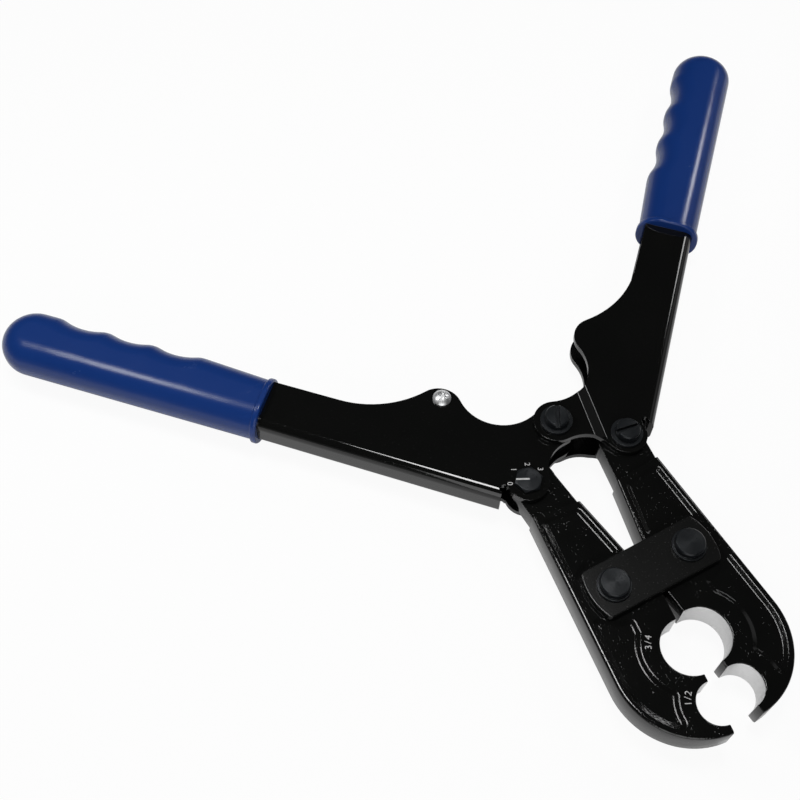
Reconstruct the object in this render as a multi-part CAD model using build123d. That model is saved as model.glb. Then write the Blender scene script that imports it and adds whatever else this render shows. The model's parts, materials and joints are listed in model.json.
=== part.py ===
from build123d import *
import os
from math import acos, asin, atan2, cos, degrees, hypot, radians, sin, sqrt, tan

# A two-handed crimp tool for copper pipe rings, lying on its back with its handles open.
#
# Two forged jaws turn on two rivets held between a pair of link plates. Each jaw's tail is
# carried between the cheeks of a folded sheet handle, and the two handles turn on one centre
# bolt, so that closing the handles spreads the tails and shuts the jaws.
#
# X runs across the tool, +Y towards the handles, +Z up out of the front face. The origin is
# under the middle of the tool, at the height of its lowest point.

# Driving dimensions, in millimetres and degrees

# Linkage
rivet_spacing = 37.5         # between the two jaw rivets
tail_length = 58.9           # jaw rivet to handle pivot
arm_length = 31.7            # centre bolt to handle pivot
left_jaw_opening = 8.4       # how far each jaw stands open at rest; they lean to one side
right_jaw_opening = 3.6
arm_angle_closed = 5.0       # how far the arms are from one line when the jaws meet
arm_bearing = 81.8           # from a handle's spine to its arm, round the centre bolt

# Jaws
jaw_thickness = 14.5
head_radius = 33.5           # outside of the round head
head_offset = 1.5            # its centre lies this far outside the meeting plane
jaw_edge_radius = 1.2
parting_gap = 0.1            # each jaw stops this far from the plane where they meet
large_bore_radius = 12.05
small_bore_radius = 8.95
large_bore_reach = 32.8      # rivet line to the centre of the large bore
bore_tooth = 3.3             # metal between the two bores
tip_wall = 3.6               # metal beyond the small bore
bore_chamfer = 0.4
heel_reach = 6.4             # rivet line to where the jaws' faces start to meet
tail_inner_offset = 14.1     # tail's inner edge from the meeting plane, at the shoulder
tail_outer_offset = 36.6     # tail's outer edge from the meeting plane, at the shoulder
shoulder_reach = 41.3        # rivet line to the shoulder where the tail gets thinner
shoulder_step = 0.5
tail_thickness = 10.0
tail_end_radius = 10.3
tail_end_inset = 2.7         # the pivot hole lies this far outside the tail's middle
panel_depth = 0.9            # sunk panels in the forging
panel_slope = 66.0           # of their broad sides, from upright
panel_rim = 2.6
panel_corner = 2.6
large_bore_land = 7.9
small_bore_land = 6.6
rivet_boss_radius = 14.1
panel_parting = 10.7         # height of the plain band that parts the two panels beside the rivet
heel_land = 16.1             # the meeting faces keep their full thickness this far out

# Link plates and rivets
link_thickness = 3.5
link_half_width = 11.2
link_end_reach = 11.2        # rivet to the middle of the plate's bulged end
link_end_radius = 25.7       # of that bulge
link_corner_radius = 2.1
link_edge_radius = 0.4
rivet_radius = 5.0
rivet_flange_radius = 7.3
rivet_flange_height = 1.2
rivet_head_radius = 6.4
rivet_head_height = 3.1
rivet_head_chamfer = 0.5

# Handle frames
sheet = 2.7
bend_radius = 4.3            # outside of the fold
centre_lobe_radius = 10.1
pivot_lobe_radius = 9.4
spine_offset = 42.6          # centre bolt to the outside of the spine, where the fold starts
spine_end_offset = 40.1      # the same at the end of the bar
spine_start = 13.9           # the fold ends this far along the handle
notch_radius = 1.7
bump_along = 51.9
bump_offset = -2.5           # tip of the bump, measured outwards from the centre bolt
bump_radius = 10.7
valley_radius = 20.3
sweep_radius = 47.1
arch_radius = 16.6
bar_edge_offset = 17.6       # inner edge of the bar that enters the grip
bar_end = 241.0
tang_inset = 2.9             # inside the grip the bar's inner edge steps back by this
joggle_angle = 58.0          # the fold lines' normal, measured from the spine
joggle_margin = 1.9          # from the lifted tab's second fold line to the right jaw's washer
joggle_length = 5.6
joggle_fold_radius = 1.3

# Grips
grip_start = 126.9
grip_end = 258.6
grip_inner_offset = 15.1
grip_crest_offset = 12.9
grip_outer_offset = 43.4
grip_half_thickness = 11.1
grip_round = 10.4
first_crest_along = 164.9
groove_pitch = 23.2
groove_count = 3
groove_depth = 2.5
crest_radius = 11.6
lip_length = 2.9
lip_height = 1.3
lip_round = 0.85

# Bolts, nuts and washers
bolt_radius = 4.0
bolt_head_radius = 5.4
bolt_head_height = 3.9
bolt_head_chamfer = 0.5
slot_width = 2.0
slot_depth = 1.8
centre_slot_turn = -16.7     # where the two screw slots stand, from the right handle's spine
right_jaw_slot_turn = 53.5
nut_width = 13.0
nut_height = 2.6
thread_end = 0.4             # bolt left standing out of its nut
hexagon_crown = 0.2          # how far inside the flats a hexagon's corners are turned off
crown_slope = 30.0
washer_radius = 7.2
washer_thickness = 1.3
spacer_radius = 7.5

# Eccentric adjuster
adjuster_head_width = 11.1
adjuster_head_height = 1.7
adjuster_head_turn = 33.0    # where the hexagon's corners stand, from the left handle's spine
adjuster_front_radius = 5.2
adjuster_cam_radius = 4.6
adjuster_cam_throw = 0.5
adjuster_back_radius = 3.6
adjuster_nut_width = 11.0
adjuster_nut_height = 3.2
adjuster_washer_radius = 6.2
adjuster_washer_thickness = 1.0

# Stop screw
stop_along = 52.0
stop_offset = 2.8
stop_screw_radius = 2.0
stop_head_radius = 4.2
stop_head_height = 2.7
stop_dome_radius = 5.6
stop_recess_length = 4.7
stop_recess_width = 1.1
stop_recess_depth = 1.4
stop_spacer_radius = 3.6
stop_nut_width = 7.0
stop_nut_height = 2.6

# Clearances
running_clearance = 0.05     # radial, a pin in a hole that turns on it
seat_clearance = 0.02        # radial, a pin in a hole that moves with it
side_clearance = 0.1         # between flat faces that slide past each other
cam_end_clearance = 0.05     # along the adjuster, between its shoulders and the cheeks
pivot_travel_clearance = 0.35
grip_clearance = 0.1

# Distance within which two points are taken as one
same_point = 0.01

# Values worked out from the dimensions above

rivet_offset = rivet_spacing / 2
jaw_face = jaw_thickness / 2
tail_face = tail_thickness / 2
cheek_inner = tail_face + side_clearance
cheek_face = cheek_inner + sheet
tab_inner = cheek_face + side_clearance
tab_face = tab_inner + sheet
link_inner = jaw_face + side_clearance
link_face = link_inner + link_thickness
small_bore_reach = large_bore_reach + large_bore_radius + bore_tooth + small_bore_radius
tip_reach = small_bore_reach + small_bore_radius + tip_wall
head_reach = tip_reach - sqrt(head_radius ** 2 - head_offset ** 2)


def circle_centre(a, reach_a, b, reach_b, side):
    """The point reach_a from a and reach_b from b, on the left (+1) or right (-1) of a to b."""
    span = hypot(b[0] - a[0], b[1] - a[1])
    ux, uy = (b[0] - a[0]) / span, (b[1] - a[1]) / span
    along = (reach_a ** 2 - reach_b ** 2 + span ** 2) / (2 * span)
    across = side * sqrt(reach_a ** 2 - along ** 2)
    return a[0] + along * ux - across * uy, a[1] + along * uy + across * ux


# The linkage with the jaws shut, seen from the midpoint of the rivets
spread_closed = arm_length * cos(radians(arm_angle_closed))
tail_angle_closed = degrees(asin((spread_closed - rivet_offset) / tail_length))
pivot_closed = (spread_closed, tail_length * cos(radians(tail_angle_closed)))


def tail_pivot(opening, side):
    """The pivot in a jaw's tail, with that jaw open by an angle; side is -1 on the left, 1 on the right."""
    tail_angle = radians(tail_angle_closed - opening)
    return side * (rivet_offset + tail_length * sin(tail_angle)), tail_length * cos(tail_angle)


def arm_angle(pivot, bolt):
    """How far a handle's arm rises from its pivot to the centre bolt."""
    return degrees(asin((bolt[1] - pivot[1]) / arm_length))


# The linkage at rest, and how far each handle turns as the tool shuts
left_pivot = tail_pivot(left_jaw_opening, -1)
right_pivot = tail_pivot(right_jaw_opening, 1)
centre = circle_centre(left_pivot, arm_length, right_pivot, arm_length, 1)
left_arm_angle = arm_angle(left_pivot, centre)
right_arm_angle = arm_angle(right_pivot, centre)
left_swing = left_arm_angle - arm_angle_closed
right_swing = right_arm_angle - arm_angle_closed
left_handle_angle = 90 + left_arm_angle - arm_bearing
right_handle_angle = 90 + right_arm_angle - arm_bearing

# How a cone stands on the origin
on_base = (Align.CENTER, Align.CENTER, Align.MIN)


def disc(radius, at=(0, 0)):
    return Pos(at[0], at[1]) * Circle(radius)


def outline(*points):
    return make_face(Polyline(*points, close=True))


def slab(face, low, high):
    """A flat face raised to a plate between two heights."""
    return Pos(0, 0, low) * extrude(face, amount=high - low, dir=(0, 0, 1))


def post(radius, low, high, at=(0, 0)):
    return slab(disc(radius, at), low, high)


def edges_at(solid, *points):
    """The edges of a solid that pass through the given points."""
    return [e for e in solid.edges() if any(e.distance_to(Vertex(*p)) < same_point for p in points)]


def rim_edges(solid, height):
    """The edges that lie flat on a solid's top and bottom faces, at a height above and below the middle."""
    return [e for e in solid.edges() if abs(abs(e.center().Z) - height) < same_point]


def flip(solid):
    """The same piece on the back of the tool."""
    return mirror(solid, about=Plane.XY)


def opposite(solid):
    """The same piece on the other side of the tool's axis."""
    return mirror(solid, about=Plane.YZ)


# Jaws, drawn shut, on the right of the meeting plane, with the rivet line at y = 0

def on_head(bearing):
    """A point on the round head's outline; bearings run in radians from the +X side."""
    return head_offset + head_radius * cos(bearing), head_radius * sin(bearing) - head_reach


def jaw_plan():
    """A straight-sided body whose outer edge runs into the round head without a corner."""
    rise = head_reach + shoulder_reach
    run = tail_outer_offset - head_offset
    side = atan2(rise, run) - acos(head_radius / hypot(run, rise))
    tip = -acos((parting_gap - head_offset) / head_radius)
    sides = Polyline(
        on_head(tip),
        (parting_gap, -heel_reach),
        (tail_inner_offset, shoulder_reach),
        (tail_outer_offset, shoulder_reach),
        on_head(side),
    )
    head = ThreePointArc(on_head(side), on_head((side + tip) / 2), on_head(tip))
    return make_face(sides.edges() + head.edges())


def tail_plan():
    end = (pivot_closed[0] - tail_end_inset, pivot_closed[1])
    root = shoulder_reach - shoulder_step
    neck = outline(
        (tail_inner_offset + shoulder_step, root),
        (end[0] - tail_end_radius, end[1]),
        (end[0] + tail_end_radius, end[1]),
        (tail_outer_offset - shoulder_step, root),
    )
    return neck + disc(tail_end_radius, end)


def panel_plan(plan):
    """The two sunk panels of a jaw's face: one on the tail, one round the head."""
    panels = offset(plan, -panel_rim)
    panels -= disc(rivet_boss_radius, (rivet_offset, 0))
    panels -= Rectangle(4 * tail_outer_offset, panel_parting)
    panels -= disc(large_bore_radius + large_bore_land, (0, -large_bore_reach))
    panels -= disc(small_bore_radius + small_bore_land, (0, -small_bore_reach))
    panels -= Pos(heel_land / 2, -large_bore_reach / 2) * Rectangle(heel_land, large_bore_reach)
    return [offset(offset(face, -panel_corner), panel_corner) for face in panels.faces()]


def make_jaw(pivot_hole_radius, opening):
    plan = jaw_plan()
    jaw = slab(plan, -jaw_face, jaw_face)
    rim = [e for e in rim_edges(jaw, jaw_face) if e.center().X > parting_gap + same_point]
    jaw = fillet([e for e in rim if e.center().Y < shoulder_reach - same_point], jaw_edge_radius)
    for face in panel_plan(plan):
        sunk = Pos(0, 0, jaw_face) * extrude(face, amount=panel_depth, dir=(0, 0, -1), taper=panel_slope)
        jaw -= sunk
        jaw -= flip(sunk)
    jaw += slab(tail_plan(), -tail_face, tail_face)
    for radius, reach in ((large_bore_radius, large_bore_reach), (small_bore_radius, small_bore_reach)):
        jaw -= post(radius, -jaw_thickness, jaw_thickness, (0, -reach))
        flare = Cone(radius, radius + 2 * bore_chamfer, 2 * bore_chamfer, align=on_base)
        mouth = Pos(0, -reach, jaw_face - bore_chamfer) * flare
        jaw -= mouth
        jaw -= flip(mouth)
    jaw -= post(rivet_radius + running_clearance, -jaw_thickness, jaw_thickness, (rivet_offset, 0))
    jaw -= post(pivot_hole_radius, -jaw_thickness, jaw_thickness, pivot_closed)
    return Pos(rivet_offset, 0) * Rot(0, 0, opening) * Pos(-rivet_offset, 0) * jaw


# Link plates and rivets

def link_plan():
    """A bar with bulged ends and rounded corners."""
    end = rivet_offset + link_end_reach
    corner = end - link_end_radius + sqrt(link_end_radius ** 2 - link_half_width ** 2)
    ends = [
        ThreePointArc((side * corner, -link_half_width), (side * end, 0), (side * corner, link_half_width))
        for side in (-1, 1)]
    sides = [
        Line((-corner, side * link_half_width), (corner, side * link_half_width)) for side in (-1, 1)]
    bar = make_face([part.edge() for part in ends + sides])
    return fillet(bar.vertices(), link_corner_radius)


def make_link_plate():
    plate = slab(link_plan(), link_inner, link_face)
    plate = fillet(plate.faces().sort_by(Axis.Z)[-1].edges(), link_edge_radius)
    for x in (-rivet_offset, rivet_offset):
        plate -= post(rivet_radius + seat_clearance, 0, 2 * link_face, (x, 0))
    return plate


def make_rivet():
    head_base = link_face + rivet_flange_height
    head_top = head_base + rivet_head_height
    head = post(rivet_flange_radius, link_face, head_base)
    knob = post(rivet_head_radius, head_base, head_top)
    knob = chamfer(edges_at(knob, (rivet_head_radius, 0, head_top)), rivet_head_chamfer)
    head += knob
    return post(rivet_radius, -link_face, link_face) + head + flip(head)


# Handle frames, drawn along +X with the centre bolt at the origin and the spine on the +Y side

hub = (0, 0)
pivot = (arm_length * cos(radians(arm_bearing)), arm_length * sin(radians(arm_bearing)))
bump = (bump_along, bump_offset + bump_radius)
valley = circle_centre(
    hub, centre_lobe_radius + valley_radius, bump, bump_radius + valley_radius, -1)
sweep_offset = bar_edge_offset - sweep_radius
tang_start = grip_start + lip_length / 2
sweep_run = sqrt((sweep_radius + bump_radius) ** 2 - (bump[1] - sweep_offset) ** 2)
sweep = (bump[0] + sweep_run, sweep_offset)
arch = circle_centre(hub, centre_lobe_radius + arch_radius, pivot, pivot_lobe_radius + arch_radius, 1)
stop = (stop_along, stop_offset)

# The lifted tab's fold lines, as far from the centre bolt as the right jaw's washer lets them be
pivot_depth = arm_length * cos(radians(arm_bearing - joggle_angle))
joggle_end = pivot_depth - washer_radius - joggle_margin
joggle_start = joggle_end - joggle_length


def cheek_plan():
    """One cheek of a handle: lobes and hollows that run into each other without corners."""
    notch = spine_offset - bend_radius
    plan = outline(
        hub,
        valley,
        bump,
        sweep,
        (sweep[0], bar_edge_offset),
        (tang_start, bar_edge_offset),
        (tang_start, bar_edge_offset + tang_inset),
        (bar_end, bar_edge_offset + tang_inset),
        (bar_end, spine_end_offset),
        (spine_start, spine_offset),
        (spine_start, notch),
        pivot,
        arch,
    )
    plan += disc(centre_lobe_radius, hub)
    plan += disc(pivot_lobe_radius, pivot)
    plan += disc(bump_radius, bump)
    plan -= disc(valley_radius, valley)
    plan -= disc(sweep_radius, sweep)
    plan -= disc(arch_radius, arch)
    plan -= disc(notch_radius, (spine_start, notch))
    return plan


def spine_at(along):
    """How far the outside of the spine lies from the centre bolt's line, some way along the handle."""
    fall = (spine_end_offset - spine_offset) / (bar_end - spine_start)
    return spine_offset + fall * (along - spine_start)


def channel(plan):
    """The folded frame: two cheeks and the spine that joins them."""
    frame = slab(plan, -cheek_face, cheek_face)
    middle = (spine_start + bar_end) / 2
    fold = edges_at(frame, (middle, spine_at(middle), cheek_face), (middle, spine_at(middle), -cheek_face))
    frame = fillet(fold, bend_radius)
    reach = bar_end + spine_offset
    inside = spine_at(middle) - sheet
    hollow = slab(outline(
        (-reach, -reach),
        (reach, -reach),
        (reach, spine_at(reach) - sheet),
        (-reach, spine_at(-reach) - sheet),
    ), -cheek_inner, cheek_inner)
    hollow = fillet(
        edges_at(hollow, (middle, inside, cheek_inner), (middle, inside, -cheek_inner)),
        bend_radius - sheet)
    front_end = slab(outline(
        (-reach, -reach), (spine_start, -reach), (spine_start, reach), (-reach, reach)),
        -cheek_inner, cheek_inner)
    return frame - hollow - front_end


def lifted_tab(plan):
    """The front cheek of the right handle round the centre bolt, lifted by one sheet."""
    reach = spine_offset
    profile = outline(
        (-reach, tab_inner),
        (joggle_start, tab_inner),
        (joggle_end, cheek_inner),
        (joggle_end + sheet, cheek_inner),
        (joggle_end + sheet, cheek_face),
        (joggle_end, cheek_face),
        (joggle_start, tab_face),
        (-reach, tab_face),
    )
    folds = [v for v in profile.vertices() if abs(v.X - joggle_start) < same_point]
    folds += [v for v in profile.vertices() if abs(v.X - joggle_end) < same_point]
    profile = fillet(folds, joggle_fold_radius)
    sheet_strip = Rot(0, 0, joggle_angle) * (Rot(90, 0, 0) * extrude(profile, amount=2 * reach, both=True))
    return sheet_strip & slab(plan, 0, 2 * tab_face)


def beyond_joggle(reach):
    """The side of the second fold line that stays at the height of the cheeks."""
    block = Pos(joggle_end + sheet / 2, 0, 0) * Box(
        2 * reach, 4 * reach, 4 * tab_face, align=(Align.MIN, Align.CENTER, Align.CENTER))
    return Rot(0, 0, joggle_angle) * block


def make_left_frame():
    frame = channel(cheek_plan())
    drift = pivot_drift()
    slot_length = hypot(*drift)
    slot_bearing = degrees(atan2(drift[1], drift[0]))
    slot = Pos(drift[0] / 2, drift[1] / 2) * Rot(0, 0, slot_bearing) * SlotCenterToCenter(
        slot_length, 2 * (bolt_radius + pivot_travel_clearance))
    frame -= slab(slot, -2 * cheek_face, 2 * cheek_face)
    frame -= post(adjuster_front_radius + running_clearance, 0, 2 * cheek_face, pivot)
    frame -= post(adjuster_back_radius + running_clearance, -2 * cheek_face, 0, pivot)
    frame -= post(stop_screw_radius + seat_clearance, -2 * cheek_face, 2 * cheek_face, stop)
    return frame


def pivot_drift():
    """Where the centre bolt stands half way through the stroke, in the left handle's axes.

    The jaws turn in step with the handles, while the real linkage speeds up towards the end.
    The two handles' centres part by this much in between, and meet again with the jaws shut.
    """
    left = tail_pivot(left_jaw_opening / 2, -1)
    right = tail_pivot(right_jaw_opening / 2, 1)
    left_arm = radians(left_arm_angle - left_swing / 2)
    right_arm = radians(right_arm_angle - right_swing / 2)
    across = right[0] - left[0] - arm_length * (cos(left_arm) + cos(right_arm))
    up = right[1] - left[1] + arm_length * (sin(right_arm) - sin(left_arm))
    turned = radians(90 + left_handle_angle - left_swing / 2)
    return across * cos(turned) + up * sin(turned), up * cos(turned) - across * sin(turned)


def make_right_frame():
    """Drawn as a left-hand frame; its place on the right mirrors it."""
    plan = cheek_plan()
    frame = channel(plan) & beyond_joggle(bar_end)
    tab = lifted_tab(plan) - beyond_joggle(bar_end)
    frame += tab
    frame += flip(tab)
    for hole in (hub, pivot):
        frame -= post(bolt_radius + seat_clearance, -2 * tab_face, 2 * tab_face, hole)
    return frame


# Grips, in the handle's axes

def grip_plan():
    tip_radius = (grip_outer_offset - grip_crest_offset) / 2
    tip = (grip_end - tip_radius, grip_crest_offset + tip_radius)
    half_pitch = groove_pitch / 2
    groove_radius = (half_pitch ** 2 + groove_depth ** 2) / (2 * groove_depth)
    plan = outline(
        (grip_start, grip_inner_offset),
        (first_crest_along, grip_crest_offset),
        (tip[0], grip_crest_offset),
        (tip[0], grip_outer_offset),
        (grip_start, grip_outer_offset),
    )
    plan += disc(tip_radius, tip)
    for i in range(groove_count):
        along = first_crest_along + (i + 0.5) * groove_pitch
        plan -= disc(groove_radius, (along, grip_crest_offset + groove_depth - groove_radius))
    crests = [
        Vertex(first_crest_along + i * groove_pitch, grip_crest_offset) for i in range(groove_count + 1)]
    corners = [v for v in plan.vertices() if any(v.distance_to(crest) < same_point for crest in crests)]
    return fillet(corners, crest_radius)


def make_grip():
    body = slab(grip_plan(), -grip_half_thickness, grip_half_thickness)
    rim = [e for e in rim_edges(body, grip_half_thickness) if e.center().X > grip_start + same_point]
    body = fillet(rim, grip_round)
    width = grip_outer_offset - grip_inner_offset + 2 * lip_height
    height = 2 * (grip_half_thickness + lip_height)
    middle = (grip_outer_offset + grip_inner_offset) / 2
    lip_face = Plane(origin=(grip_start, middle, 0), x_dir=(0, 1, 0), z_dir=(1, 0, 0)) * RectangleRounded(
        width, height, grip_round + lip_height)
    lip = extrude(lip_face, amount=lip_length)
    lip = fillet(lip.edges().filter_by(Axis.X, reverse=True), lip_round)
    low = bar_edge_offset - grip_clearance
    high = spine_at(grip_start) + grip_clearance
    side = cheek_face + grip_clearance
    mouth = grip_start - lip_length
    depth = bar_end + grip_clearance
    step = tang_start + grip_clearance
    socket = slab(outline(
        (mouth, low),
        (step, low),
        (step, low + tang_inset),
        (depth, low + tang_inset),
        (depth, spine_at(depth) + grip_clearance),
        (mouth, spine_at(mouth) + grip_clearance),
    ), -side, side)
    socket = fillet(
        edges_at(socket, (grip_start, high, side), (grip_start, high, -side)), bend_radius + grip_clearance)
    return body + lip - socket


# Fasteners, standing on the origin along Z

def slotted_bolt(seat, grip_face, slot_turn):
    """A slotted cheese-head bolt: its washer lies on seat, its nut's washer under grip_face."""
    head_base = seat + washer_thickness
    head_top = head_base + bolt_head_height
    head = post(bolt_head_radius, head_base, head_top)
    head = chamfer(edges_at(head, (bolt_head_radius, 0, head_top)), bolt_head_chamfer)
    head -= Pos(0, 0, head_top) * Rot(0, 0, slot_turn) * Box(
        4 * bolt_head_radius, slot_width, 2 * slot_depth)
    tail = grip_face - washer_thickness - nut_height - thread_end
    shank = post(bolt_radius, tail, head_base)
    shank = chamfer(edges_at(shank, (bolt_radius, 0, tail)), thread_end)
    return head + shank


def hexagon(width, low, high):
    """A hexagon between two heights, with its corners turned off on the lower face."""
    inner = width / 2 - hexagon_crown
    outer = inner + (high - low) / tan(radians(crown_slope))
    turned = Cone(inner, outer, high - low, align=on_base)
    return slab(RegularPolygon(width / 2, 6, major_radius=False), low, high) & (Pos(0, 0, low) * turned)


def hex_nut(width, bore, low, high):
    return hexagon(width, low, high) - post(bore, low, high)


def flat_washer(radius, bore, low, high):
    return post(radius, low, high) - post(bore, low, high)


def make_adjuster():
    """A hexagon head over an eccentric journal that the left jaw's tail bears on."""
    head_base = cheek_face + cam_end_clearance
    head = flip(hexagon(adjuster_head_width, -head_base - adjuster_head_height, -head_base))
    head = Rot(0, 0, adjuster_head_turn) * head
    front = post(adjuster_front_radius, cheek_inner, head_base)
    cam = post(adjuster_cam_radius, -cheek_inner + cam_end_clearance, cheek_inner, (adjuster_cam_throw, 0))
    tail = -cheek_face - adjuster_washer_thickness - adjuster_nut_height - thread_end
    back = post(adjuster_back_radius, tail - cam_end_clearance, 0)
    return head + front + cam + back


def make_stop_screw():
    """A pan-head screw with a cross recess."""
    top = cheek_face + stop_head_height
    head = post(stop_head_radius, cheek_face, top)
    head &= Pos(0, 0, top - stop_dome_radius) * Sphere(stop_dome_radius)
    for turn in (0, 90):
        head -= Pos(0, 0, top) * Rot(0, 0, turn) * Box(
            stop_recess_length, stop_recess_width, 2 * stop_recess_depth)
    tail = -cheek_face - stop_nut_height - thread_end
    return head + post(stop_screw_radius, tail, cheek_face)


# Placing: the handles' axes, and the fasteners on them, in the tool's frame

def on_left(solid, at=(0, 0)):
    """From the handle's axes to the left handle's place."""
    return Pos(centre[0], centre[1]) * Rot(0, 0, 90 + left_handle_angle) * Pos(at[0], at[1]) * solid


def on_right(solid, at=(0, 0)):
    """From the handle's axes, mirrored, to the right handle's place."""
    mirrored = Rot(0, 0, 90 + right_handle_angle) * Pos(at[0], at[1]) * solid
    return Pos(centre[0], centre[1]) * opposite(mirrored)


def build():
    thread = bolt_radius + seat_clearance
    adjuster_thread = adjuster_back_radius + seat_clearance
    stop_thread = stop_screw_radius + seat_clearance
    adjuster_seat = -cheek_face - cam_end_clearance
    adjuster_nut_top = adjuster_seat - adjuster_washer_thickness
    cam_hole = adjuster_cam_radius + adjuster_cam_throw + running_clearance
    link_plate = make_link_plate()
    rivet = make_rivet()
    nut_top = washer_thickness
    pieces = {
        "front_link_plate": link_plate,
        "back_link_plate": flip(link_plate),
        "left_jaw_rivet": Pos(-rivet_offset, 0) * rivet,
        "right_jaw_rivet": Pos(rivet_offset, 0) * rivet,
        "left_jaw": opposite(make_jaw(cam_hole, left_jaw_opening)),
        "right_jaw": make_jaw(bolt_radius + running_clearance, right_jaw_opening),
        "left_handle_frame": on_left(make_left_frame()),
        "right_handle_frame": on_right(make_right_frame()),
        "left_grip": on_left(make_grip()),
        "right_grip": on_right(make_grip()),
        "centre_bolt": on_right(slotted_bolt(tab_face, -tab_face, centre_slot_turn)),
        "centre_front_washer": on_right(flat_washer(washer_radius, thread, tab_face, tab_face + nut_top)),
        "centre_back_washer": on_right(flat_washer(washer_radius, thread, -tab_face - nut_top, -tab_face)),
        "centre_nut": on_right(
            hex_nut(nut_width, thread, -tab_face - nut_top - nut_height, -tab_face - nut_top)),
        "centre_spacer": on_right(flat_washer(spacer_radius, thread, -tail_face, tail_face)),
        "right_jaw_bolt": on_right(slotted_bolt(cheek_face, -cheek_face, right_jaw_slot_turn), pivot),
        "right_jaw_front_washer": on_right(
            flat_washer(washer_radius, thread, cheek_face, cheek_face + nut_top), pivot),
        "right_jaw_back_washer": on_right(
            flat_washer(washer_radius, thread, -cheek_face - nut_top, -cheek_face), pivot),
        "right_jaw_nut": on_right(
            hex_nut(nut_width, thread, -cheek_face - nut_top - nut_height, -cheek_face - nut_top), pivot),
        "adjuster_bolt": on_left(make_adjuster(), pivot),
        "adjuster_washer": on_left(
            flat_washer(adjuster_washer_radius, adjuster_thread, adjuster_nut_top, adjuster_seat), pivot),
        "adjuster_nut": on_left(
            hex_nut(adjuster_nut_width, adjuster_thread,
                    adjuster_nut_top - adjuster_nut_height, adjuster_nut_top), pivot),
        "stop_screw": on_left(make_stop_screw(), stop),
        "stop_spacer": on_left(
            flat_washer(stop_spacer_radius, stop_thread, -cheek_inner, cheek_inner), stop),
        "stop_nut": on_left(
            hex_nut(stop_nut_width, stop_thread, -cheek_face - stop_nut_height, -cheek_face), stop),
    }
    return pieces


pieces = build()
box = Compound(children=[piece.solids()[0] for piece in pieces.values()]).bounding_box()
home = Pos(-box.center().X, -box.center().Y, -box.min.Z)

os.makedirs("parts", exist_ok=True)
for name, piece in pieces.items():
    export_step(home * piece, f"parts/{name}.step")
print("tool size", [round(v, 2) for v in box.size])
print("left handle turns", round(left_swing, 3), "and the right", round(right_swing, 3))
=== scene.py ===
# %% [markdown]
# # A crimp tool for copper pipe rings
#
# This lesson dresses a hand tool that was drawn in CAD. Two forged jaws, two folded sheet handles and
# their bolts arrive as finished solids, each named and already in its place. What is left to add here
# is what paint, oil and a mould leave behind: gloss enamel, turned steel, soft vinyl, and a little ink.

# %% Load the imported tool
import json
import math

import bmesh
import bpy
from mathutils import Matrix, Vector


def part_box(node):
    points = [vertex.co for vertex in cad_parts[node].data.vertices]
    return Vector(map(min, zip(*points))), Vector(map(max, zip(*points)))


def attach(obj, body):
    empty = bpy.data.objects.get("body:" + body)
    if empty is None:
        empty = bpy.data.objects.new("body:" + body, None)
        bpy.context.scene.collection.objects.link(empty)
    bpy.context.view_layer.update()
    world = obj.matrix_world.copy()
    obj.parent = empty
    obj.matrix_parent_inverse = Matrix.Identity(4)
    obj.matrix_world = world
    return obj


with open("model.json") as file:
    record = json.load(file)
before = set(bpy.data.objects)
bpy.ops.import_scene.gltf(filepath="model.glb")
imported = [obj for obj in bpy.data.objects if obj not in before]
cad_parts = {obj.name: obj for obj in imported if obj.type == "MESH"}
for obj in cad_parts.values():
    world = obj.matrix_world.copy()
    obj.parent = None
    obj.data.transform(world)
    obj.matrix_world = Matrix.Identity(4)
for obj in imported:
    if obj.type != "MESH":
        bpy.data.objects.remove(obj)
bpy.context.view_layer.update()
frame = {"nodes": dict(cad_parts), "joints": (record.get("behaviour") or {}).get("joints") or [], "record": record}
nodes = frame["nodes"]
print("pieces from the CAD model:", len(nodes))

# %% [markdown]
# ## Where things are
#
# Every fastener of the tool stands upright, so the middle of a rivet's or a washer's box is its axis.
# Reading the axes from the solids keeps the paint on them when a size changes. A jaw's two half bores
# have no box of their own: the record gives their axes on the right jaw, and the two hinges carry them
# across.

# %% Axes of the fasteners and the bores
MM = 0.001


def axis_of(node):
    """The upright axis of a round piece, and the height of its top."""
    low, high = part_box(node)
    middle = (low + high) / 2
    return Vector((middle.x, middle.y, high.z))


def turned_about(point, pivot, degrees):
    """A point of the plan after a turn about an upright axis."""
    turn = Matrix.Rotation(math.radians(degrees), 3, "Z")
    return turn @ (point - pivot) + pivot


hinge = {joint["name"]: joint for joint in frame["joints"]}
mount = {m["name"]: m for m in frame["record"]["mounts"]}
left_rivet = axis_of("left_jaw_rivet")
right_rivet = axis_of("right_jaw_rivet")
left_opening = hinge["left_jaw_pivot"]["range_deg"][1]
right_opening = hinge["right_jaw_pivot"]["range_deg"][1]


def bore_axes(name):
    """A bore's axis in the left and in the right jaw; the two meet when the tool is shut."""
    right = Vector(mount[name]["pos_m"])
    shut = turned_about(right, right_rivet, -right_opening)
    return turned_about(shut, left_rivet, -left_opening), right


bores = {name: bore_axes(name) for name in ("large_die", "small_die")}
for name, (left, right) in bores.items():
    print(name, "left", [round(v / MM, 2) for v in left], "right", [round(v / MM, 2) for v in right])

# %% [markdown]
# ## Shader sums that read as sums
#
# A finish is mostly arithmetic: how far is this point from the axis, is that less than the bore, mix in
# a little noise. Wiring Math nodes by hand hides that. A small class wraps a socket, and its plus and
# times add the nodes, so a pattern can be written as the formula that it is.

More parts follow.
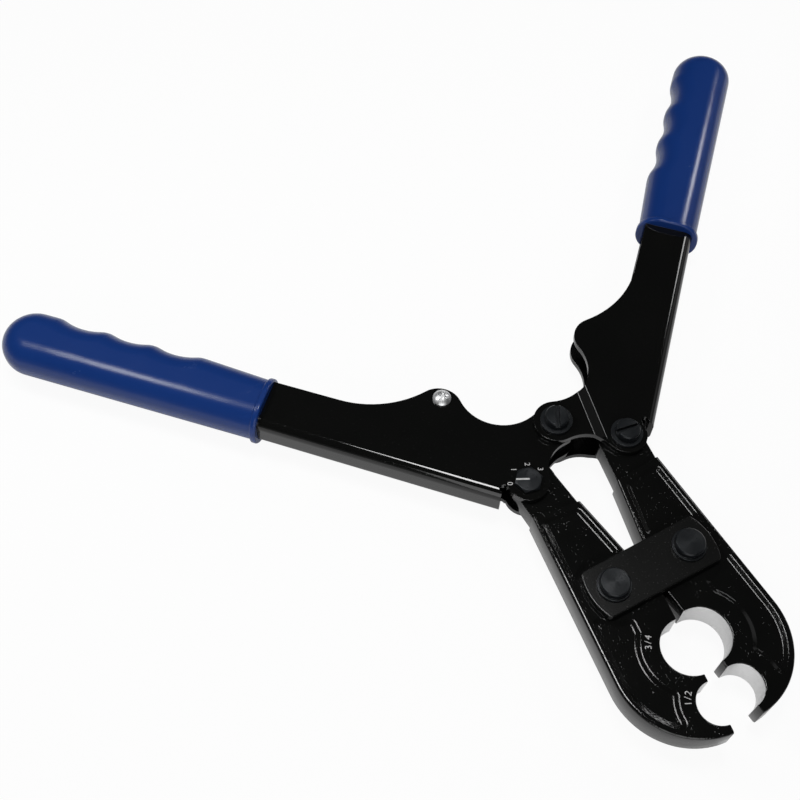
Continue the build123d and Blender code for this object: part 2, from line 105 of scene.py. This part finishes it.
# %% The socket wrapper
class Value:
    """One shader socket that takes part in Python expressions."""

    def __init__(self, wiring, socket):
        self.wiring = wiring
        self.socket = socket

    def math(self, operation, *others):
        inputs = dict(enumerate((self,) + others))
        return self.wiring.node("ShaderNodeMath", {"operation": operation}, inputs)

    def __add__(self, other):
        return self.math("ADD", other)

    def __sub__(self, other):
        return self.math("SUBTRACT", other)

    def __rsub__(self, other):
        return self.wiring.node("ShaderNodeMath", {"operation": "SUBTRACT"}, {0: other, 1: self})

    def __mul__(self, other):
        return self.math("MULTIPLY", other)

    def __lt__(self, other):
        return self.math("LESS_THAN", other)

    __radd__ = __add__
    __rmul__ = __mul__

    def step(self, low, high):
        """0 below low, 1 above high, and a smooth rise between them."""
        return self.wiring.node("ShaderNodeMapRange", {"interpolation_type": "SMOOTHSTEP"}, {
            "Value": self, "From Min": low, "From Max": high})


class Wiring:
    """A node tree that is wired from Python: one method makes any node."""

    def __init__(self, tree):
        self.tree = tree

    def node(self, kind, settings, inputs, output=0):
        made = self.tree.nodes.new(kind)
        for name, value in settings.items():
            setattr(made, name, value)
        for name, value in inputs.items():
            self.feed(made.inputs[name], value)
        return Value(self, made.outputs[output])

    def feed(self, socket, value):
        if isinstance(value, Value):
            self.tree.links.new(value.socket, socket)
        else:
            socket.default_value = value


print("socket wrapper ready")

# %% [markdown]
# ## What a finish is made of
#
# Paint, plating and vinyl all ask the same few questions of a point: which blotch of noise is it in,
# how far is it from an axis, is it on an edge. They are methods of one class, so that each finish below
# can be read as a recipe. The patterns use Object coordinates, which stay with a piece when a joint
# moves it. The Mix node keeps sockets for every kind of data, so its colour sockets go by number.

# %% The finish
NOISE_FALLOFF = 0.55
PEBBLE_SMOOTHNESS = 0.6
EDGE_SAMPLES = 6
EDGE_STARTS, EDGE_FULL = 0.02, 0.2
MIX_AMOUNT, MIX_FIRST, MIX_SECOND, MIX_RESULT = 0, 6, 7, 2


class Finish(Wiring):
    """A material in the making: constants go straight on the shader, what varies is linked to it."""

    def __init__(self, name, constants):
        self.material = bpy.data.materials.new(name)
        self.material.use_nodes = True
        super().__init__(self.material.node_tree)
        self.shader = self.tree.nodes["Principled BSDF"]
        for socket, value in constants.items():
            self.shader.inputs[socket].default_value = value

    def set(self, **varying):
        """Link what varies; an underscore stands for the space in a socket's name."""
        for name, value in varying.items():
            self.feed(self.shader.inputs[name.replace("_", " ")], value)
        return self.material

    def point(self):
        return self.node("ShaderNodeTexCoord", {}, {}, "Object")

    def height(self):
        return self.node("ShaderNodeSeparateXYZ", {}, {"Vector": self.point()}, "Z")

    def noise(self, size, detail=2.0, stretch=None):
        """Soft noise whose blotches are about one size across, in metres."""
        at = self.point()
        if stretch:
            at = self.node("ShaderNodeMapping", {}, {"Vector": at, "Scale": stretch})
        return self.node("ShaderNodeTexNoise", {}, {
            "Vector": at, "Scale": 1 / size, "Detail": detail, "Roughness": NOISE_FALLOFF}, "Fac")

    def cells(self, size):
        """Rounded pebbles about one size across: 0 in the middle of each."""
        return self.node("ShaderNodeTexVoronoi", {"feature": "SMOOTH_F1"}, {
            "Vector": self.point(), "Scale": 1 / size, "Smoothness": PEBBLE_SMOOTHNESS}, "Distance")

    def from_axis(self, axis):
        """How far a point is from an upright axis."""
        flat = self.node("ShaderNodeVectorMath", {"operation": "MULTIPLY"}, {
            0: self.point(), 1: (1, 1, 0)})
        return self.node("ShaderNodeVectorMath", {"operation": "DISTANCE"}, {
            0: flat, 1: (axis.x, axis.y, 0)}, "Value")

    def level(self):
        """1 on faces that lie flat, 0 on walls."""
        facing = self.node("ShaderNodeNewGeometry", {}, {}, "True Normal")
        return self.node("ShaderNodeSeparateXYZ", {}, {"Vector": facing}, "Z").math("ABSOLUTE")

    def rounded(self, radius):
        """The normal of edges that are broken by a small radius."""
        return self.node("ShaderNodeBevel", {"samples": EDGE_SAMPLES}, {"Radius": radius})

    def edges(self, rounded):
        """1 on the edges that the rounded normal leaves, 0 on the flats."""
        flat = self.node("ShaderNodeNewGeometry", {}, {}, "Normal")
        same = self.node("ShaderNodeVectorMath", {"operation": "DOT_PRODUCT"}, {
            0: rounded, 1: flat}, "Value")
        return (1 - same).step(EDGE_STARTS, EDGE_FULL)

    def mix(self, amount, first, second):
        return self.node("ShaderNodeMix", {"data_type": "RGBA"}, {
            MIX_AMOUNT: amount, MIX_FIRST: first, MIX_SECOND: second}, MIX_RESULT)

    def bump(self, height, depth, normal):
        return self.node("ShaderNodeBump", {}, {
            "Strength": 1.0, "Distance": depth, "Height": height, "Normal": normal})


def grey(level):
    return (level, level, level, 1)


def coat(names, material):
    """Give CAD pieces a finish in place of the plain colour that they came with."""
    for node in names:
        nodes[node].data.materials.clear()
        nodes[node].data.materials.append(material)
    print(material.name, "on", ", ".join(names))


print("finish helpers ready")

# %% [markdown]
# ## Gloss enamel on folded sheet
#
# The handles and link plates are dipped in black enamel and stoved. The paint flows out to a gloss with
# a faint orange peel, pulls thin on cut edges and gathers a little dust while wet. A flat black would
# hide all of that: the peel is a bump of two noises, and the edges turn slightly grey and dull. The
# plates are a little duller than the handles, and one number in the same recipe says so.

# %% The sheet enamel
SHEET_PAINT = (0.0034, 0.0036, 0.0035, 1), (0.005, 0.0051, 0.0048, 1)
SHEET_WORN = (0.014, 0.014, 0.0145, 1)
SHEET_EDGE = 0.3 * MM
PEEL_DEPTH = 0.006 * MM
DULLNESS = {"handle_enamel": 0.05, "plate_enamel": 0.17}


def sheet_enamel(name):
    f = Finish(name, {"IOR": 1.5, "Coat Roughness": 0.06})
    edge_normal = f.rounded(SHEET_EDGE)
    peel = f.noise(2.2 * MM, 1.0) + f.noise(7 * MM, 0.0) * 1.5
    dust = f.noise(0.7 * MM, 0.0).step(0.74, 0.8)
    wear = f.edges(edge_normal) * f.noise(3 * MM).step(0.5, 0.75)
    cloud = f.noise(30 * MM)
    return f.set(
        Base_Color=f.mix(wear * 0.5, f.mix(cloud, *SHEET_PAINT), SHEET_WORN),
        Roughness=DULLNESS[name] + cloud * 0.03 + wear * 0.2 + dust * 0.1,
        Coat_Weight=0.05 - wear * 0.05,
        Normal=f.bump(peel + dust * 0.4, PEEL_DEPTH, edge_normal),
    )


coat(("left_handle_frame", "right_handle_frame"), sheet_enamel("handle_enamel"))
coat(("front_link_plate", "back_link_plate"), sheet_enamel("plate_enamel"))

# %% [markdown]
# ## Enamel on a forging, with ground bores
#
# The jaws are forged, so the same enamel lies on a skin of fine pebbles and pits that glint in points,
# most of all along the rounded edges. The side walls come out of the die a little barrelled, and one
# broad bump over the height bends the light there. The half bores are ground bright after painting. A
# second material would need the mesh split along the bore; a distance from the bore's axis finds the
# same wall without touching the solid.

# %% The forged jaws
FORGED_PAINT = (0.0032, 0.0034, 0.0033, 1), (0.0052, 0.0053, 0.005, 1)
FORGED_WORN = (0.015, 0.015, 0.0155, 1)
GROUND_STEEL = grey(0.74), grey(0.92)
FORGED_EDGE = 0.5 * MM
PEBBLE_DEPTH = 0.05 * MM
WALL_BULGE = 0.7 * MM
LEAVES_WALL = 0.25, 0.4
MEETS_FLAT = 0.8, 0.88
GRIND_STRETCH = (0.12, 0.12, 1.0)
GROUND_PAST_WALL = 0.12 * MM
BORE_RADIUS = {name: m["dims"]["r_mm"] * MM for name, m in mount.items() if name in bores}
JAW_LOW, JAW_HIGH = (corner.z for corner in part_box("left_jaw"))


def in_a_bore(f, side):
    """1 on the ground wall of either half bore."""
    large, small = (f.from_axis(axes[side]) < BORE_RADIUS[name] + GROUND_PAST_WALL
                    for name, axes in bores.items())
    return large.math("MAXIMUM", small)


def forged_enamel(name, side):
    f = Finish(name, {"IOR": 1.5, "Coat Roughness": 0.08})
    bare = in_a_bore(f, side)
    painted = 1 - bare
    edge_normal = f.rounded(FORGED_EDGE)
    rim = f.edges(edge_normal)
    level = f.level()
    fillet = level.step(*LEAVES_WALL) * (1 - level.step(*MEETS_FLAT))

    pebbles = f.cells(1.1 * MM) * 0.25 + f.noise(0.8 * MM, 1.0) * 0.25 + f.noise(5 * MM) * 0.4
    pits = f.noise(0.9 * MM, 0.0).step(0.72, 0.82) * f.noise(9 * MM).step(0.44, 0.6)
    grit = rim.math("MAXIMUM", fillet) * f.noise(0.8 * MM, 0.0)
    from_middle = (f.height() - (JAW_LOW + JAW_HIGH) / 2) * (2 / (JAW_HIGH - JAW_LOW))
    bulge = (1 - from_middle * from_middle) * (WALL_BULGE / PEBBLE_DEPTH)
    skin = pebbles + pits * 1.2 + grit * 2.0 + bulge

    cloud = f.noise(18 * MM)
    wear = rim * f.noise(2 * MM).step(0.5, 0.7)
    worn = f.mix(wear * 0.6, f.mix(cloud, *FORGED_PAINT), FORGED_WORN)
    grind = f.noise(0.25 * MM, 2.0, GRIND_STRETCH)
    gloss = 0.07 + cloud * 0.03 + wear * 0.15
    return f.set(
        Base_Color=f.mix(bare, worn, f.mix(grind, *GROUND_STEEL)),
        Metallic=bare,
        Roughness=gloss * painted + (0.3 + grind * 0.15) * bare,
        Coat_Weight=(0.1 - wear * 0.1) * painted,
        Normal=f.bump(skin * painted + grind * bare * 0.15, PEBBLE_DEPTH, edge_normal),
    )


for side, hand in enumerate(("left", "right")):
    coat((hand + "_jaw",), forged_enamel("forged_enamel_" + hand, side))
print("ground bores, radius in mm:", {k: round(v / MM, 2) for k, v in BORE_RADIUS.items()})

# %% [markdown]
# ## Black oxide on turned steel
#
# Rivets, bolts, nuts and washers are turned, then blackened in a hot bath. The tool leaves fine rings
# about each axis, and they draw the light out into a faint star across a round face. The rings are a
# wave of the distance from that axis, so each group of fasteners has its own copy of the finish.

# %% The fasteners
OXIDE = (0.0075, 0.0088, 0.0103, 1), (0.014, 0.0165, 0.019, 1)
RUBBED_STEEL = (0.16, 0.16, 0.165, 1)
TURNED_EDGE = 0.3 * MM
RING_PITCH = 0.34 * MM
RING_DEPTH = 0.0055 * MM
OXIDE_GROUPS = {
    "left_rivet": ("left_jaw_rivet",),
    "right_rivet": ("right_jaw_rivet",),
    "centre": ("centre_front_washer", "centre_bolt", "centre_back_washer", "centre_nut",
               "centre_spacer"),
    "right_pivot": ("right_jaw_front_washer", "right_jaw_bolt", "right_jaw_back_washer",
                    "right_jaw_nut"),
    "adjuster": ("adjuster_washer", "adjuster_bolt", "adjuster_nut"),
}


def turned_oxide(group, axis):
    f = Finish("black_oxide_" + group, {"IOR": 1.36})
    edge_normal = f.rounded(TURNED_EDGE)
    phase = f.from_axis(axis) * (2 * math.pi / RING_PITCH) + f.noise(2 * MM) * 2.0
    rings = phase.math("SINE")
    cloud = f.noise(3.5 * MM, 3.0)
    bright = f.edges(edge_normal) * f.noise(1.5 * MM).step(0.35, 0.7)
    return f.set(
        Base_Color=f.mix(bright * 0.55, f.mix(cloud, *OXIDE), RUBBED_STEEL),
        Metallic=0.35 + bright * 0.5,
        Roughness=0.24 + cloud * 0.1 - bright * 0.06,
        Normal=f.bump(rings + cloud * 0.8, RING_DEPTH, edge_normal),
    )


for group, members in OXIDE_GROUPS.items():
    coat(members, turned_oxide(group, axis_of(members[0])))

# %% [markdown]
# ## Bright zinc on the stop screw
#
# One small cross-recess screw is zinc plated. Plating is never mirror smooth: it has a fine frosty
# grain and a faint blue cast. Two noises, one for the tint and one for the grain, are enough here.

# %% The stop screw
ZINC_TINTS = (0.8, 0.82, 0.84, 1), (0.92, 0.92, 0.91, 1)
ZINC_EDGE = 0.2 * MM
FROST_DEPTH = 0.01 * MM


def bright_zinc():
    f = Finish("bright_zinc", {"Metallic": 1.0})
    frost = f.noise(0.35 * MM, 3.0)
    return f.set(
        Base_Color=f.mix(f.noise(2 * MM), *ZINC_TINTS),
        Roughness=0.3 + frost * 0.2,
        Normal=f.bump(frost, FROST_DEPTH, f.rounded(ZINC_EDGE)),
    )


coat(("stop_screw", "stop_spacer", "stop_nut"), bright_zinc())

# %% [markdown]
# ## Blue vinyl grips
#
# The grips are dipped in soft vinyl. Its skin is glossy but never flat: it sags a little as it cools,
# and carries a fine mould grain and the odd rub. Broad noise bends the highlights, fine noise breaks
# them.

# %% The grips
VINYL_BLUES = (0.0062, 0.031, 0.165, 1), (0.0082, 0.038, 0.19, 1)
RUBBED_BLUE = (0.025, 0.06, 0.2, 1)
RUB_STRETCH = (0.35, 1.0, 1.0)
VINYL_EDGE = 0.8 * MM
SAG_DEPTH = 0.03 * MM


def blue_vinyl():
    f = Finish("blue_vinyl", {"IOR": 1.4, "Coat Roughness": 0.25})
    cloud = f.noise(40 * MM, 3.0)
    grain = f.noise(0.5 * MM, 2.0)
    sag = f.noise(14 * MM, 1.0)
    rub = f.noise(6 * MM, 4.0, RUB_STRETCH).step(0.66, 0.82)
    return f.set(
        Base_Color=f.mix(rub * 0.25, f.mix(cloud, *VINYL_BLUES), RUBBED_BLUE),
        Roughness=0.2 + grain * 0.05 + rub * 0.12,
        Coat_Weight=0.05 - rub * 0.05,
        Normal=f.bump(sag * 6 + grain * 0.5, SAG_DEPTH, f.rounded(VINYL_EDGE)),
    )


coat(("left_grip", "right_grip"), blue_vinyl())

# %% [markdown]
# ## Ink on the enamel
#
# The dial round the adjuster is four printed numbers, and the jaws carry the pipe sizes that their
# bores are made for. Ink is thin but real: each figure is a flat letter with a little height, so it
# has no painted-on look and survives an export. The built-in font is plain enough for such numbers.

# %% The ink and how a figure is laid
INK_HEIGHT = 0.05 * MM
INK_GREYS = grey(0.62), grey(0.42)
CAPITAL_SHARE = 0.7
FONT_UP = 90.0
SAME_POINT = 0.001 * MM


def printed_ink(name):
    f = Finish(name, {"IOR": 1.45})
    patchy = f.noise(0.6 * MM, 3.0)
    return f.set(
        Base_Color=f.mix(patchy.step(0.35, 0.75), *INK_GREYS),
        Roughness=0.45 + patchy * 0.2,
    )


def figure(text, height, place, up):
    """A raised figure with its middle at a place and its top towards a bearing in degrees."""
    curve = bpy.data.curves.new("figure", "FONT")
    curve.body = text
    curve.size = height / CAPITAL_SHARE
    curve.extrude = INK_HEIGHT / 2
    curve.align_x = "CENTER"
    holder = bpy.data.objects.new("figure", curve)
    mesh = bpy.data.meshes.new_from_object(holder)
    bpy.data.objects.remove(holder)
    letters = bmesh.new()
    letters.from_mesh(mesh)
    bpy.data.meshes.remove(mesh)
    bmesh.ops.remove_doubles(letters, verts=letters.verts, dist=SAME_POINT)
    lift = Matrix.Translation((0, -height / 2, 0))
    turn = Matrix.Rotation(math.radians(up - FONT_UP), 4, "Z")
    seat = Matrix.Translation(place + Vector((0, 0, INK_HEIGHT / 2)))
    bmesh.ops.transform(letters, matrix=seat @ turn @ lift, verts=letters.verts)
    bmesh.ops.recalc_face_normals(letters, faces=letters.faces)
    return letters


def gathered(shapes):
    """Several bmeshes in one mesh."""
    whole = bpy.data.meshes.new("ink")
    total = bmesh.new()
    for shape in shapes:
        part = bpy.data.meshes.new("part")
        shape.to_mesh(part)
        shape.free()
        total.from_mesh(part)
        bpy.data.meshes.remove(part)
    total.to_mesh(whole)
    total.free()
    return whole


def as_piece(name, mesh, material, body):
    """A finished mesh becomes a piece that moves with a body of the tool."""
    mesh.materials.clear()
    mesh.materials.append(material)
    piece = bpy.data.objects.new(name, mesh)
    bpy.context.scene.collection.objects.link(piece)
    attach(piece, body)


white_ink = printed_ink("white_ink")
print("ink stands", round(INK_HEIGHT / MM, 3), "mm proud")

# %% [markdown]
# ## The dial and its pointer
#
# The four numbers stand on an arc round the adjuster, all upright to one reader. The pointer is a line
# of white paint in a scribed mark on the hexagon, so it belongs to the adjuster and turns with it.

# %% Dial numbers
DIAL_RADIUS = 8.1 * MM
DIAL_BEARINGS = {"0": 162.0, "1": 109.0, "2": 61.0, "3": 17.0}
DIAL_UP = -27.0
FIGURE_HEIGHT = 2.4 * MM
adjuster = axis_of("adjuster_washer")
cheek_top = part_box("left_handle_frame")[1].z


def around(axis, radius, bearing, height):
    turn = math.radians(bearing)
    return Vector((axis.x + radius * math.cos(turn), axis.y + radius * math.sin(turn), height))


digits = [figure(text, FIGURE_HEIGHT, around(adjuster, DIAL_RADIUS, bearing, cheek_top), DIAL_UP)
          for text, bearing in DIAL_BEARINGS.items()]
as_piece("dial_numbers", gathered(digits), white_ink, "left_handle")
print("dial numbers at", DIAL_BEARINGS)

# %% The pointer
POINTER_LENGTH = 6.0 * MM
POINTER_WIDTH = 0.8 * MM
POINTER_BEARING = 153.0
POINTER_MIDDLE = 2.55 * MM
POINTER_ROUNDING = 0.45


def pointer_line():
    line = bmesh.new()
    bmesh.ops.create_grid(line, x_segments=1, y_segments=1, size=0.5)
    bmesh.ops.scale(line, vec=(POINTER_LENGTH, POINTER_WIDTH, 1), verts=line.verts)
    bmesh.ops.bevel(line, geom=line.verts[:], offset=POINTER_WIDTH * POINTER_ROUNDING,
                    offset_type="OFFSET", affect="VERTICES", segments=4, profile=0.5, material=-1)
    raised = bmesh.ops.extrude_face_region(line, geom=line.faces[:])
    top = [v for v in raised["geom"] if isinstance(v, bmesh.types.BMVert)]
    bmesh.ops.translate(line, vec=(0, 0, INK_HEIGHT), verts=top)
    bmesh.ops.recalc_face_normals(line, faces=line.faces)
    turn = Matrix.Rotation(math.radians(POINTER_BEARING), 4, "Z")
    place = around(adjuster, POINTER_MIDDLE, POINTER_BEARING, axis_of("adjuster_bolt").z)
    bmesh.ops.transform(line, matrix=Matrix.Translation(place) @ turn, verts=line.verts)
    return line


as_piece("adjuster_pointer", gathered([pointer_line()]), white_ink, "adjuster")
print("pointer", round(POINTER_LENGTH / MM, 1), "mm long")

# %% [markdown]
# ## Pipe sizes on the left jaw
#
# Each bore has its size printed on the flat land beside it, following the curve of the bore. Bending a
# text object along a curve needs a modifier; three figures are as easily set one by one on the arc.

# %% Size figures
jaw_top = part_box("left_jaw")[1].z
SIZE_MARKS = {"large_die": ("3/4", 17.0 * MM, 146.3), "small_die": ("1/2", 12.3 * MM, 143.7)}
SIZE_HEIGHT = 2.7 * MM
SIZE_ADVANCE = 2.1 * MM

sizes = []
for name, (text, radius, bearing) in SIZE_MARKS.items():
    axis = bores[name][0]
    for i, letter in enumerate(text):
        along = (i - (len(text) - 1) / 2) * SIZE_ADVANCE
        at = bearing - math.degrees(along / radius)
        sizes.append(figure(letter, SIZE_HEIGHT, around(axis, radius, at, jaw_top), at))
as_piece("bore_sizes", gathered(sizes), white_ink, "left_jaw")
print("size figures:", [mark[0] for mark in SIZE_MARKS.values()])

# %% [markdown]
# ## A pale floor
#
# The tool lies on white paper. A floor lit to pure white would need so much light that the black enamel
# turned grey. Instead the floor glows nearly white to the camera and more dimly to reflections, mixed
# with a plain matt paper that still takes the shadow.

# %% Floor
FLOOR_SIZE = 12.0
PAPER = 0.9
GLOW_SEEN = 0.94
GLOW_REFLECTED = 0.3


def white_paper():
    f = Finish("white_paper", {})
    paper = f.node("ShaderNodeBsdfDiffuse", {}, {"Color": grey(PAPER)})
    glow = f.node("ShaderNodeEmission", {}, {"Color": grey(1.0), "Strength": 1.0})
    share = f.node("ShaderNodeLightPath", {}, {}, "Is Camera Ray") * GLOW_SEEN
    for ray in ("Is Glossy Ray", "Is Transmission Ray"):
        share = share.math("MAXIMUM", f.node("ShaderNodeLightPath", {}, {}, ray) * GLOW_REFLECTED)
    shown = f.node("ShaderNodeMixShader", {}, {0: share, 1: paper, 2: glow})
    f.feed(f.tree.nodes["Material Output"].inputs["Surface"], shown)
    f.tree.nodes.remove(f.shader)
    return f.material


sheet = bmesh.new()
bmesh.ops.create_grid(sheet, x_segments=1, y_segments=1, size=FLOOR_SIZE / 2)
floor_mesh = bpy.data.meshes.new("floor")
sheet.to_mesh(floor_mesh)
sheet.free()
floor_mesh.materials.append(white_paper())
floor = bpy.data.objects.new("floor", floor_mesh)
bpy.context.scene.collection.objects.link(floor)
print("floor", FLOOR_SIZE, "m square")

# %% [markdown]
# ## Studio room
#
# Gloss black shows what it reflects. The flat tops of the tool mirror the space above and behind it,
# and they stay black only if that is dark; the side walls mirror the paper. So the room is pale low
# down and dark overhead, with one soft pale patch on the right that the slopes of the sheet pick up.
# The camera alone sees plain white behind the paper.

# %% World
ROOM_DARK = 0.012
ROOM_PALE = 0.16
PALE_ENDS, DARK_STARTS = 0.1, 0.4
PATCH_TOWARDS = Vector((0.917, -0.02, 0.399))
PATCH_RIM, PATCH_FULL = 0.973, 0.995
PATCH_PALE = 0.28


def studio_world():
    world = bpy.data.worlds.new("studio")
    world.use_nodes = True
    bpy.context.scene.world = world
    w = Wiring(world.node_tree)
    direction = w.node("ShaderNodeTexCoord", {}, {}, "Generated")
    rise = w.node("ShaderNodeSeparateXYZ", {}, {"Vector": direction}, "Z")
    towards = w.node("ShaderNodeVectorMath", {"operation": "DOT_PRODUCT"}, {
        0: direction, 1: PATCH_TOWARDS}, "Value")
    low = (1 - rise.step(PALE_ENDS, DARK_STARTS)) * ROOM_PALE
    patch = towards.step(PATCH_RIM, PATCH_FULL) * PATCH_PALE
    seen = w.node("ShaderNodeLightPath", {}, {}, "Is Camera Ray")
    room = w.tree.nodes["Background"]
    w.feed(room.inputs["Color"], grey(1.0))
    w.feed(room.inputs["Strength"], (low + patch + ROOM_DARK).math("MAXIMUM", seen))


studio_world()
print("room", ROOM_PALE, "low down,", ROOM_DARK, "overhead")

# %% [markdown]
# ## Lamps
#
# A lamp right in the mirror of a flat face would turn it white, and one that no edge can mirror leaves
# the shape unread. The overhead lamp and the right window stand between the two: the flats and the
# slopes of the panels miss them, and the narrow rounded edges between catch them as thin lines. A small
# box near each grip draws its streak of light, and a large soft lamp in front opens the near walls.
# The right box has a grid on it, so that it lights the grip and not the jaws. The table gives each
# lamp's place, width, power, what it is aimed at and how wide it shines.

# %% Lamps
MIDDLE = Vector((0, 0, 0.02))
RIGHT_GRIP = sum(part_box("right_grip"), Vector()) / 2
OPEN_FRONT = 180.0
GRIDDED = 50.0
LAMPS = {
    "overhead": ((0.02, 0.14, 1.14), 0.3, 5.4, MIDDLE, OPEN_FRONT),
    "left_box": ((-0.235, 0.21, 0.36), 0.12, 0.48, MIDDLE, OPEN_FRONT),
    "right_window": ((0.87, 0.3, 0.74), 0.2, 0.9, MIDDLE, OPEN_FRONT),
    "right_box": ((0.415, 0.16, 0.24), 0.07, 0.013, RIGHT_GRIP, GRIDDED),
    "front_fill": ((-0.6, -1.0, 0.55), 1.0, 6.0, MIDDLE, OPEN_FRONT),
}

for name, (place, width, power, aim, spread) in LAMPS.items():
    lamp = bpy.data.lights.new(name, "AREA")
    lamp.shape = "SQUARE"
    lamp.size = width
    lamp.energy = power
    lamp.spread = math.radians(spread)
    holder = bpy.data.objects.new(name, lamp)
    holder.location = place
    holder.rotation_euler = (aim - holder.location).to_track_quat("-Z", "Y").to_euler()
    bpy.context.scene.collection.objects.link(holder)
print("lamps:", list(LAMPS))

# %% [markdown]
# ## The camera
#
# The picture was taken from above the left handle, looking down at the jaws. Its place was worked out
# from the tool's own pivots and outline, so it needs no shift: a point to stand on, a point to look at,
# a small roll and a lens.

# %% Camera
STAND = Vector((-191.64, -204.23, 466.92)) * MM
LOOK_AT = Vector((-49.918, 45.094, 0.0)) * MM
ROLL = -1.295
LENS = 51.97
SENSOR = 36.0

lens = bpy.data.cameras.new("camera")
lens.lens = LENS
lens.sensor_width = SENSOR
camera = bpy.data.objects.new("camera", lens)
look = (LOOK_AT - STAND).to_track_quat("-Z", "Y").to_matrix().to_4x4()
roll = Matrix.Rotation(math.radians(-ROLL), 4, "Z")
camera.matrix_world = Matrix.Translation(STAND) @ look @ roll
bpy.context.scene.collection.objects.link(camera)
bpy.context.scene.camera = camera
bpy.context.scene.view_settings.view_transform = "Standard"
print("camera", round((LOOK_AT - STAND).length, 3), "m from its target")
